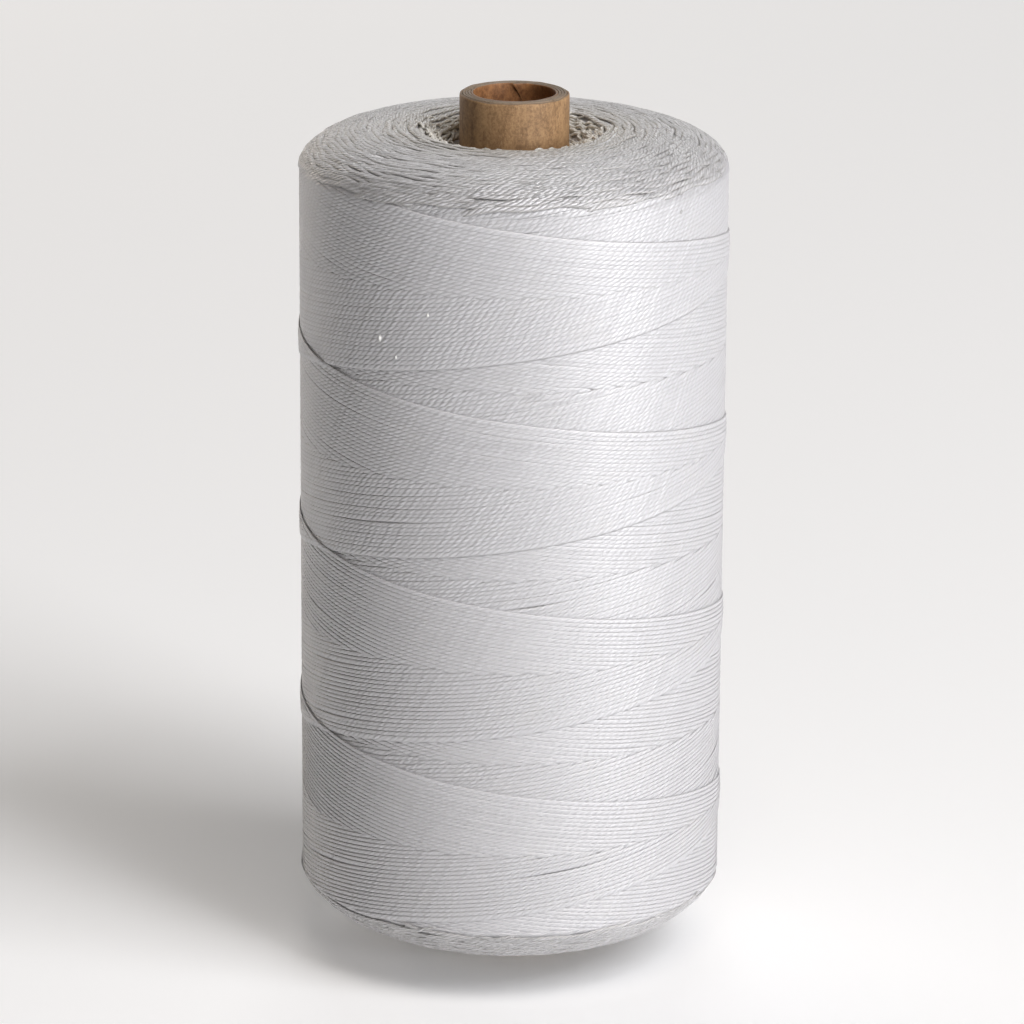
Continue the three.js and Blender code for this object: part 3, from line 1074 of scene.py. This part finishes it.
    def _run(self, band: int, stroke: Stroke, number: int) -> Run:
        """One stroke's visible stretch in a diamond.

        Args:
            band: The diamond's number, counted from its lowest corner.
            stroke: The family.
            number: The stroke in its family, counted upwards in the diamond.

        Returns:
            The stretch, from under the step at its left to its dive at the waist.
        """
        outline = self.outline
        per_degree = outline.radius * math.pi / 180.0
        share = self.places[stroke][number]
        rising = stroke is Stroke.RISING
        first = -180.0 * (share if rising else 1.0 - share)
        waist = 180.0 * (1.0 - 2.0 * share) * stroke.value
        start = first - self.under_step / per_degree
        stop = waist + (self.dive_length + self.tail) / per_degree
        count = self.section.stations((stop - start) * per_degree)
        across = np.linspace(start, stop, count)
        azimuth = self.last_turnround + 180.0 * band + across
        corner = self.low + band * self.pitch / 2.0
        walk = corner + self.pitch * (share + stroke.value * across / 360.0)
        turn = np.radians(azimuth) + number
        strays = (np.sin(rate * turn + shift * number) for rate, shift in self.wander_waves)
        walk = walk + self.wander * sum(strays)
        walk = walk + self._parted(band, stroke, number, (across - first) / (waist - first + 1.0))
        walk = self._turn_round(band, walk)
        beyond = np.maximum(outline.side_low - walk, walk - outline.side_high) / (
            self.high - outline.side_high
        )
        fade = 1.0 - (1.0 - self.end_relief) * np.clip(beyond, 0.0, 1.0)
        lift = self.stroke_rise * across / 180.0 * fade + self.heights[stroke][number]
        inward = number if rising else self.strokes - 1 - number
        lift = lift - self.edge_drop * math.exp(-inward / self.edge_reach)
        past = (across - waist) * per_degree / self.dive_length + self.dive_lead[0 if rising else 1]
        lift = lift - self.section.height * smooth_rise(past)
        phase = self.phases[stroke][number] + start * per_degree / TWIST_LEAD + band * self.band_phase
        return Run(azimuth, walk, lift, phase)

    def _turn_round(self, band: int, walk: np.ndarray) -> np.ndarray:
        """Round a stroke off where it turns back at either end.

        Args:
            band: The diamond's number.
            walk: The stroke's places on the walk.

        Returns:
            The rounded places.
        """
        soft = self.turn_softness
        if band == self.bands - 1:
            limit = self.high + self.turn_slack
            return -soft * np.logaddexp(-walk / soft, -limit / soft)
        if band == -1:
            limit = self.low - self.turn_slack
            return soft * np.logaddexp(walk / soft, limit / soft)
        return walk


@dataclass(frozen=True)
class LoopShape:
    """How the loops of one part of an end face lie.

    Attributes:
        length: Length of a loop round its ring.
        bulge: How far its middle bows outwards along the outline.
        tilt: How far its ends may lean from its ring.
        disorder: Spread of the loops' heights.
        curl_height: Height of the short curls on a loop.
    """

    length: float
    bulge: float
    tilt: float
    disorder: float
    curl_height: float


@dataclass
class EndFace:
    """Turn-round loops of the layers under the outer lay, from the shoulder into the funnel.

    Attributes:
        outline: The surface that the loops lie on.
        section: The thread on the dome.
        core_section: The slack thread in the funnel.
        end: The end of the spool.
        start: Place on the walk of the outer lay's turn-rounds.
        dome: The loops of the dome.
        funnel: The loops of the funnel.
        stand: Height of the loops over the mean surface.
        ring_gap: Distance between two rings.
        first_ring: Number of the first ring, of which some lie under the outer lay.
        overlap: Length of a loop as a share of its place in the ring.
        length_spread: Range of a change of that length.
        place_spread: Range of a loop's place, in loops.
        bow: Where a loop crosses its own ring.
        wave: Length of the long waves on a loop.
        wave_height: Their height.
        curl: Length of the short curls in the funnel.
        sway: How far a loop strays along the outline.
        sway_rate: Rate of that straying, as a share of the waves'.
        rough_band: Width of the disordered band outside the funnel's lip.
        rough_height: Disorder that it adds at the lip.
        dive_share: Share of a loop's half over which its end dives.
        shoulder_radius: Radius where the shoulder's piece meets the dome's.
        lip: How far inside the lip the slack thread begins.
        seed: Seed of every chance on the two end faces.
    """

    outline: PackageOutline
    section: ThreadSection
    core_section: ThreadSection
    end: End
    start: float
    dome: LoopShape = LoopShape(24.0 * MM, 1.2 * MM, 1.0 * MM, 0.05 * MM, 0.0)
    funnel: LoopShape = LoopShape(10.0 * MM, 2.0 * MM, 1.8 * MM, 0.25 * MM, 0.32 * MM)
    stand: float = 0.22 * MM
    ring_gap: float = 0.84 * MM
    first_ring: float = -2.0
    overlap: float = 1.62
    length_spread: Span = (0.85, 0.3)
    place_spread: float = 0.4
    bow: float = 0.35
    wave: float = 11.0 * MM
    wave_height: float = 0.06 * MM
    curl: float = 3.6 * MM
    sway: float = 0.26 * MM
    sway_rate: float = 0.7
    rough_band: float = 10.0 * MM
    rough_height: float = 0.20 * MM
    dive_share: float = 0.30
    shoulder_radius: float = 39.0 * MM
    lip: float = 1.2 * MM
    seed: int = 5

    def build(self, material: bpy.types.Material, core_material: bpy.types.Material) -> None:
        """Build and dress the shoulder, the dome and the funnel of this end.

        Args:
            material: Finish of the shoulder and the dome.
            core_material: Finish of the funnel.
        """
        side = self.end.name.lower()
        shoulder, dome, funnel = [], [], []
        draw = np.random.default_rng(self.seed + self.end.value)
        foot = self.outline.walk[-1] if self.end is End.HIGH else self.outline.walk[0]
        rings = int(abs(foot - self.start) / self.ring_gap + 0.5 - self.first_ring)
        for ring in range(rings):
            walk = self.start + self.end.value * (ring + self.first_ring) * self.ring_gap
            radius = float(self.outline.at(np.array([walk]))[0][0])
            inside = radius < self.outline.crater_radius - self.lip
            part = funnel if inside else dome if radius < self.shoulder_radius else shoulder
            part.extend(self._ring(walk, radius, inside, draw))
        for name, loops in (("shoulder", shoulder), ("dome", dome)):
            piece = self.section.mesh(f"thread_{name}_{side}", loops, self.outline)
            dress(piece, material, "waxed_thread", ["thread_main_layers"])
        piece = self.core_section.mesh(f"thread_funnel_{side}", funnel, self.outline)
        dress(piece, core_material, "thread_core", ["thread_core_layers"])

    def _ring(self, walk: float, radius: float, inside: bool, draw: np.random.Generator) -> Iterable[Run]:
        """Overlapping loops round one ring of the end face.

        Args:
            walk: The ring's place on the outline.
            radius: Its radius.
            inside: Whether it lies in the funnel.
            draw: The source of chance.

        Yields:
            The ring's loops.
        """
        shape = self.funnel if inside else self.dome
        disorder = shape.disorder
        if not inside:
            near = 1.0 - (radius - self.outline.crater_radius) / self.rough_band
            disorder = disorder + self.rough_height * min(max(near, 0.0), 1.0)
        shortest, longer = self.length_spread
        count = max(3, round(2 * math.pi * radius / shape.length))
        offset = draw.random() * 360.0
        for number in range(count):
            half = 180.0 / count * self.overlap * (shortest + longer * draw.random())
            middle = offset + (number + self.place_spread * draw.random()) * 360.0 / count
            stations = self.section.stations(math.radians(2 * half) * radius)
            share = np.linspace(-1.0, 1.0, stations)
            lean = shape.tilt * draw.uniform(-1.0, 1.0)
            place = walk + self.end.value * shape.bulge * (self.bow - share**2) + lean * share
            swing = 2 * math.pi * share * math.radians(half) * radius / self.wave
            place = place + self.sway * np.sin(self.sway_rate * swing + FULL_TURN * draw.random())
            lift = self.stand + disorder * draw.standard_normal()
            lift = lift + self.wave_height * np.sin(swing + FULL_TURN * draw.random())
            if inside:
                curls = swing * self.wave / self.curl + FULL_TURN * draw.random()
                lift = lift + shape.curl_height * np.sin(curls)
            past = (np.abs(share) - (1.0 - self.dive_share)) / self.dive_share
            lift = lift - self.section.height * smooth_rise(past)
            yield Run(middle + share * half, place, lift, draw.random())


@dataclass(frozen=True)
class Crumb:
    """A crumb of wax or a dull grey speck on the side.

    Attributes:
        azimuth: Where it lies, in degrees.
        height: How high.
        width: Its extent round the spool.
        tall: Its extent up the spool.
        stands: How far it stands proud of the thread.
    """

    azimuth: float
    height: float
    width: float
    tall: float
    stands: float


@dataclass
class Crumbs:
    """The few crumbs that cling to the winding.

    Attributes:
        lay: The lay that they cling to.
        wax: Crumbs of wax.
        grey_specks: Small dull grey specks.
        ruggedness: How far a crumb's surface is thrown, in crumbs.
        first_seed: Seed of the first crumb of a kind.
        depth: Half depth of a crumb, as a share of how far it stands proud.
    """

    lay: OuterLay
    wax: tuple[Crumb, ...] = (
        Crumb(-37.1, 159.8 * MM, 1.0 * MM, 1.7 * MM, 0.42 * MM),
        Crumb(-22.6, 166.9 * MM, 0.7 * MM, 1.1 * MM, 0.20 * MM),
        Crumb(-32.0, 156.0 * MM, 0.5 * MM, 0.9 * MM, 0.15 * MM),
        Crumb(131.0, 88.0 * MM, 0.8 * MM, 1.2 * MM, 0.30 * MM),
    )
    grey_specks: tuple[Crumb, ...] = (
        Crumb(49.6, 187.7 * MM, 1.0 * MM, 1.3 * MM, 0.14 * MM),
        Crumb(-141.0, 61.0 * MM, 0.9 * MM, 0.8 * MM, 0.14 * MM),
    )
    ruggedness: float = 0.16
    first_seed: int = 3
    depth: float = 1.6

    def build(self) -> None:
        """Build and dress both kinds."""
        for name, crumbs, finish in (("wax_crumbs", self.wax, WAX), ("grey_speck_crumbs", self.grey_specks, GREY_SPECK)):
            dress(self._kind(name, crumbs), finish.material(), "waxed_thread", [])

    def _kind(self, name: str, crumbs: Sequence[Crumb]) -> bpy.types.Object:
        """Join crumbs of one kind into one irregular piece.

        Args:
            name: The piece's name.
            crumbs: Its crumbs.

        Returns:
            The piece.
        """
        parts = [self._crumb(number, crumb) for number, crumb in enumerate(crumbs)]
        take(*parts)
        bpy.ops.object.join()
        parts[0].name = parts[0].data.name = name
        return parts[0]

    def _crumb(self, number: int, crumb: Crumb) -> bpy.types.Object:
        """One flattened, uneven blob half sunk between the threads.

        Args:
            number: Its number, which seeds its shape.
            crumb: Its place and size.

        Returns:
            The blob.
        """
        bpy.ops.mesh.primitive_ico_sphere_add(subdivisions=3, radius=1.0, location=(0.0, 0.0, 0.0))
        blob = bpy.context.object
        edit_all(blob)
        bpy.ops.transform.vertex_random(
            offset=self.ruggedness, uniform=0.1, normal=0.9, seed=number + self.first_seed
        )
        bpy.ops.mesh.vertices_smooth(factor=0.5, repeat=2)
        bpy.ops.object.mode_set(mode="OBJECT")
        bpy.ops.object.shade_smooth()
        blob.scale = (crumb.width / 2, crumb.stands * self.depth, crumb.tall / 2)
        settle(blob)
        sunk = (self.depth - 1.0) * crumb.stands
        blob.location = (0.0, -self.lay.crown(crumb.azimuth, crumb.height) + sunk, crumb.height)
        settle(blob)
        blob.rotation_euler = (0.0, 0.0, math.radians(crumb.azimuth))
        settle(blob)
        return blob


@dataclass
class ThreadBed:
    """Older windings that show only as shade between the threads on top.

    Attributes:
        side_inset: How far the side lies under the solid's surface.
        end_inset: The same for the end faces.
        core_inset: The same for the funnels.
        sharp: Angle over which an edge stays sharp, in degrees.
    """

    side_inset: float = 0.50 * MM
    end_inset: float = 0.06 * MM
    core_inset: float = 0.35 * MM
    sharp: float = 35.0

    def build(self, material: bpy.types.Material) -> None:
        """Shrink a copy of each wound body under its own surface threads.

        Args:
            material: The thread's finish.
        """
        bodies = (
            ("thread_outer_lay", "waxed_thread", self.side_inset),
            ("thread_main_layers", "waxed_thread", self.end_inset),
            ("thread_core_layers", "thread_core", self.core_inset),
        )
        for node, slot, inset in bodies:
            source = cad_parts[node]
            piece = bpy.data.objects.new(f"{node}_bed", source.data.copy())
            bpy.context.scene.collection.objects.link(piece)
            edit_all(piece)
            bpy.ops.mesh.remove_doubles(threshold=SAME_PLACE)
            bpy.ops.transform.shrink_fatten(value=-inset)
            bpy.ops.object.mode_set(mode="OBJECT")
            bpy.ops.object.shade_smooth_by_angle(angle=math.radians(self.sharp))
            dress(piece, material, slot, [node])


# ---- Paper tube -------------------------------------------------------------


@dataclass
class PaperTube:
    """Spiral-wound tube: a liner, three body plies and a face ply, each one helical strip.

    Attributes:
        bore_radius: Radius of the bore.
        ply_thickness: Thickness of a strip.
        glue_line: Film of glue between two plies.
        lead: Rise of a strip in one turn.
        seam: Open butt seam between a strip's own turns.
        liner_seam_azimuth: Where the liner's seam comes out at the upper rim, in degrees.
        seam_stagger: Turn from one ply's seam to the next one's, in degrees.
        steps_per_turn: Facets in a turn.
        spare_turn: Share of a turn that is wound too much and cut off.
        cut_tolerance: How near to a cut a corner counts as on it.
        rim_rings: Distances from a rim at which a ply has rings of corners.
        ring_catch: How near to a ring's height a corner belongs to it.
        rim_crisp: How far those rings are drawn in on a fresh edge.
        rim_soft: How far they are drawn in on the tube's outer edge.
        rim_wear: How far each ply's rim has worn down at most, from the bore outwards.
        foot_wear: Wear of the lower rim, as a share of the upper one's.
        wear_reach: How far from the rim the wear is felt.
        wear_mean: Mean wear, as a share of the most.
        wear_ripples: Height of each ripple in it, its waves round the tube and its shift by ply.
        sharp: Angle over which an edge stays sharp, in degrees.
        curl: How far the liner's corner stands off the bore.
        curl_reach: How far from its tip the curl is felt.
    """

    bore_radius: float = 9.4 * MM
    ply_thickness: float = 0.6 * MM
    glue_line: float = 0.05 * MM
    lead: float = 120.0 * MM
    seam: float = 0.35 * MM
    liner_seam_azimuth: float = 182.0
    seam_stagger: float = 75.0
    steps_per_turn: int = 128
    spare_turn: float = 0.1
    cut_tolerance: float = 0.0001 * MM
    rim_rings: tuple[float, ...] = (0.10 * MM, 0.28 * MM, 0.8 * MM, 2.0 * MM, 4.5 * MM, 8.0 * MM)
    ring_catch: float = 0.01 * MM
    rim_crisp: tuple[float, ...] = (0.13 * MM, 0.03 * MM, 0.0)
    rim_soft: tuple[float, ...] = (0.40 * MM, 0.24 * MM, 0.06 * MM)
    rim_wear: tuple[float, ...] = (0.10 * MM, 0.02 * MM, 0.06 * MM, 0.03 * MM, 0.28 * MM)
    foot_wear: float = 0.3
    wear_reach: float = 1.2 * MM
    wear_mean: float = 0.6
    wear_ripples: tuple[tuple[float, int, int], ...] = ((0.25, 5, 1), (0.15, 13, 2))
    sharp: float = 50.0
    curl: float = 1.3 * MM
    curl_reach: float = 4.0 * MM
    length: float = field(init=False)

    def __post_init__(self) -> None:
        """Take the tube's length from the frame."""
        self.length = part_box("tube_face_ply")[1].z

    def build(self) -> None:
        """Build and dress the five plies, from the bore outwards."""
        plies = (
            ("tube_liner_ply", KRAFT_LINER, "kraft_liner"),
            ("tube_body_ply_1", KRAFT_EDGE, "kraft_body"),
            ("tube_body_ply_2", KRAFT_EDGE, "kraft_body"),
            ("tube_body_ply_3", KRAFT_EDGE, "kraft_body"),
            ("tube_face_ply", KRAFT_FACE, "kraft_face"),
        )
        made: dict[str, bpy.types.Material] = {}
        for number, (node, finish, slot) in enumerate(plies):
            if finish.name not in made:
                made[finish.name] = finish.material()
            piece = self._ply(number, f"{node}_paper")
            dress(piece, made[finish.name], slot, [node])

    def _ply(self, number: int, name: str) -> bpy.types.Object:
        """Wind one strip of paper, cut it square at both ends and wear its edges.

        Args:
            number: The ply, counted from the bore.
            name: The object's name.

        Returns:
            The finished ply.
        """
        strip = self.lead - self.seam
        inner = self.bore_radius + number * (self.ply_thickness + self.glue_line)
        turns = (self.length + strip) / self.lead + self.spare_turn
        end_azimuth = self.liner_seam_azimuth + number * self.seam_stagger
        start_azimuth = end_azimuth - 360.0 * (self.length + strip) / self.lead
        bpy.ops.mesh.primitive_plane_add(size=1.0, location=(0.0, 0.0, 0.0))
        piece = bpy.context.object
        piece.name = piece.data.name = name
        piece.scale = (self.ply_thickness, strip, 1.0)
        settle(piece)
        edit_all(piece)
        bpy.ops.mesh.delete(type="ONLY_FACE")
        bpy.ops.object.mode_set(mode="OBJECT")
        piece.rotation_euler = (math.pi / 2, 0.0, 0.0)
        piece.location = (inner + self.ply_thickness / 2, 0.0, -strip / 2)
        settle(piece)
        piece.rotation_euler = (0.0, 0.0, math.radians(start_azimuth - 90.0))
        settle(piece)
        wind = piece.modifiers.new("wind", "SCREW")
        wind.angle = 2 * math.pi * turns
        wind.screw_offset = self.lead * turns
        wind.steps = wind.render_steps = int(self.steps_per_turn * turns)
        wind.axis = "Z"
        bpy.ops.object.modifier_apply(modifier=wind.name)
        self._cut_square(piece)
        self._round_rims(piece, inner, number == len(self.rim_wear) - 1)
        self._wear_rims(piece, number)
        if number == 0:
            self._curl_corner(piece)
        return piece

    def _cut_square(self, piece: bpy.types.Object) -> None:
        """Cut a wound strip flat at both ends of the tube, with rings of corners near the cuts.

        Args:
            piece: The strip.
        """
        cuts = [(0.0, "below"), (self.length, "above")]
        cuts += [(ring, "") for ring in self.rim_rings]
        cuts += [(self.length - ring, "") for ring in self.rim_rings]
        for height, waste in cuts:
            edit_all(piece)
            bpy.ops.mesh.bisect(
                plane_co=(0.0, 0.0, height),
                plane_no=(0.0, 0.0, 1.0),
                use_fill=bool(waste),
                clear_inner=waste == "below",
                clear_outer=waste == "above",
                threshold=self.cut_tolerance,
            )
            if waste:
                bpy.ops.mesh.quads_convert_to_tris(ngon_method="BEAUTY")
            bpy.ops.object.mode_set(mode="OBJECT")
        edit_all(piece)
        bpy.ops.mesh.remove_doubles(threshold=SAME_PLACE)
        bpy.ops.mesh.normals_make_consistent(inside=False)
        bpy.ops.object.mode_set(mode="OBJECT")
        bpy.ops.object.shade_smooth_by_angle(angle=math.radians(self.sharp))

    def _round_rims(self, piece: bpy.types.Object, inner: float, outermost: bool) -> None:
        """Draw the corners of both cut ends in, so that the paper's edge is rounded.

        Args:
            piece: The ply.
            inner: Its inner radius.
            outermost: Whether it is the face ply, whose outer edge is the tube's.
        """
        middle = inner + self.ply_thickness / 2
        rings = (0.0, *self.rim_rings)
        for outside in (False, True):
            insets = self.rim_soft if outermost and outside else self.rim_crisp
            for ring, inset in zip(rings, insets):
                for height in (ring, self.length - ring):
                    radius = middle + (0.5 if outside else -0.5) * self.ply_thickness
                    drawn = radius - inset if outside else radius + inset
                    for corner in piece.data.vertices:
                        reach = math.hypot(corner.co.x, corner.co.y)
                        corner.select = (
                            abs(corner.co.z - height) < self.ring_catch and (reach > middle) is outside
                        )
                    take(piece)
                    bpy.ops.object.mode_set(mode="EDIT")
                    share = drawn / radius
                    bpy.ops.transform.resize(
                        value=(share, share, 1.0), center_override=(0.0, 0.0, height)
                    )
                    bpy.ops.mesh.select_all(action="DESELECT")
                    bpy.ops.object.mode_set(mode="OBJECT")

    def _curl_corner(self, piece: bpy.types.Object) -> None:
        """Curl the liner's pointed corner off the bore, where its seam meets the upper rim.

        Args:
            piece: The liner.
        """
        per_degree = self.bore_radius * math.pi / 180.0
        for corner in piece.data.vertices:
            azimuth = math.degrees(math.atan2(corner.co.x, -corner.co.y)) % 360.0
            behind = self.liner_seam_azimuth - azimuth
            seam_height = self.length - behind * self.lead / 360.0 - 0.5 * self.seam
            reach = math.hypot(behind * per_degree, corner.co.z - self.length)
            if 0.0 <= behind < 90.0 and corner.co.z > seam_height and reach < self.curl_reach:
                lift = self.curl * (1.0 - reach / self.curl_reach) ** 2
                radius = math.hypot(corner.co.x, corner.co.y)
                corner.co.x *= 1.0 - lift / radius
                corner.co.y *= 1.0 - lift / radius

    def _wear_rims(self, piece: bpy.types.Object, number: int) -> None:
        """Let the paper at the rims sink and fray a little, more on the outermost ply.

        Args:
            piece: The ply.
            number: The ply, counted from the bore.
        """
        worn = self.rim_wear[number]
        for corner in piece.data.vertices:
            over = 1.0 + (corner.co.z - self.length) / self.wear_reach
            under = 1.0 - corner.co.z / self.wear_reach
            azimuth = math.atan2(corner.co.x, -corner.co.y)
            ripple = self.wear_mean
            for high, waves, shift in self.wear_ripples:
                ripple += high * math.sin(waves * azimuth + shift * number)
            if over > 0:
                corner.co.z -= worn * ripple * over**2
            if under > 0:
                corner.co.z += self.foot_wear * worn * ripple * under**2


# ---- Studio -----------------------------------------------------------------


@dataclass(frozen=True)
class Lamp:
    """A square soft light.

    Attributes:
        name: Its name.
        azimuth: Where it stands, in degrees from the front.
        elevation: How high it stands, in degrees.
        size: Its side.
        power: Its power in watts.
        tint: Its colour.
    """

    name: str
    azimuth: float
    elevation: float
    size: float
    power: float
    tint: tuple[float, float, float] = (1.0, 1.0, 1.0)


@dataclass
class Studio:
    """Pale floor, soft lights and the camera.

    Attributes:
        camera_distance: How far the camera stands in front of the spool.
        camera_height: How high it stands.
        pitch: How far it looks down, in radians.
        roll: How far it leans, in radians.
        lens: Its focal length in millimetres.
        sensor: Its width in millimetres.
        far_limit: The farthest that it sees.
        floor_size: Side of the floor.
        world_strength: Strength of the white surroundings.
        lamp_distance: How far every light stands from the middle of the spool.
        aim_height: Height that every light looks at.
        lamps: The lights.
    """

    camera_distance: float = 1.2072
    camera_height: float = 0.4805
    pitch: float = 0.300558
    roll: float = 0.006187
    lens: float = 187.73
    sensor: float = 36.0
    far_limit: float = 50.0
    floor_size: float = 12.0
    world_strength: float = 0.01
    lamp_distance: float = 2.6
    aim_height: float = 0.11
    lamps: tuple[Lamp, ...] = (
        Lamp("key", 52.0, 45.0, 1.4, 46.0, (0.98, 0.98, 1.0)),
        Lamp("side_right", 44.0, 8.0, 0.7, 37.0, (0.98, 0.98, 1.0)),
        Lamp("rim_left", -145.0, 14.0, 1.2, 14.0, (1.0, 0.90, 0.80)),
        Lamp("back", 180.0, 30.0, 1.4, 14.0),
        Lamp("top", 16.0, 66.0, 1.2, 14.0, (1.0, 0.93, 0.86)),
    )

    def build(self) -> None:
        """Set the stage."""
        self._floor()
        self._world()
        for lamp in self.lamps:
            self._light(lamp)
        self._camera()
        view = bpy.context.scene.view_settings
        view.view_transform = "Standard"
        view.look = "None"

    def _floor(self) -> None:
        """A wide plain floor under the spool."""
        deselect()
        bpy.ops.mesh.primitive_plane_add(size=self.floor_size, location=(0.0, 0.0, 0.0))
        floor = bpy.context.object
        floor.name = "studio_floor"
        settle(floor)
        floor.data.materials.append(FloorFinish().material())

    def _world(self) -> None:
        """Even white surroundings."""
        world = bpy.data.worlds.new("studio_world")
        bpy.context.scene.world = world
        world.use_nodes = True
        background = world.node_tree.nodes["Background"]
        background.inputs["Color"].default_value = (1.0, 1.0, 1.0, 1.0)
        background.inputs["Strength"].default_value = self.world_strength

    def _light(self, lamp: Lamp) -> None:
        """Stand a light up and turn it to the middle of the spool.

        Args:
            lamp: The light.
        """
        target = Vector((0.0, 0.0, self.aim_height))
        turn, rise = math.radians(lamp.azimuth), math.radians(lamp.elevation)
        ray = Vector((math.sin(turn) * math.cos(rise), -math.cos(turn) * math.cos(rise), math.sin(rise)))
        light = bpy.data.lights.new(lamp.name, "AREA")
        light.size = lamp.size
        light.energy = lamp.power
        light.color = lamp.tint
        holder = bpy.data.objects.new(lamp.name, light)
        holder.location = target + ray * self.lamp_distance
        holder.rotation_euler = ray.to_track_quat("Z", "Y").to_euler()
        bpy.context.scene.collection.objects.link(holder)

    def _camera(self) -> None:
        """A long lens from a little above the spool."""
        lens = bpy.data.cameras.new("camera")
        lens.lens = self.lens
        lens.sensor_width = self.sensor
        lens.clip_end = self.far_limit
        holder = bpy.data.objects.new("camera", lens)
        tilt = Matrix.Rotation(math.pi / 2 - self.pitch, 4, "X") @ Matrix.Rotation(self.roll, 4, "Z")
        holder.matrix_world = Matrix.Translation((0.0, -self.camera_distance, self.camera_height)) @ tilt
        bpy.context.scene.collection.objects.link(holder)
        bpy.context.scene.camera = holder


# ---- Assembly ---------------------------------------------------------------


def main() -> None:
    """Build the spool from the tube outwards, then the studio."""
    logging.basicConfig(level=logging.INFO, format="%(name)s %(message)s")
    Studio().build()
    outline = PackageOutline()
    side, ends, core = (finish.material() for finish in (SIDE_THREAD, END_THREAD, CORE_THREAD))
    PaperTube().build()
    ThreadBed().build(side)
    lay = OuterLay(outline, SIDE_SECTION)
    lay.build(side)
    Crumbs(lay).build()
    for end, start in ((End.LOW, lay.low), (End.HIGH, lay.high)):
        EndFace(outline, LOOP_SECTION, SLACK_SECTION, end, start).build(ends, core)


if __name__ == "__main__":
    main()
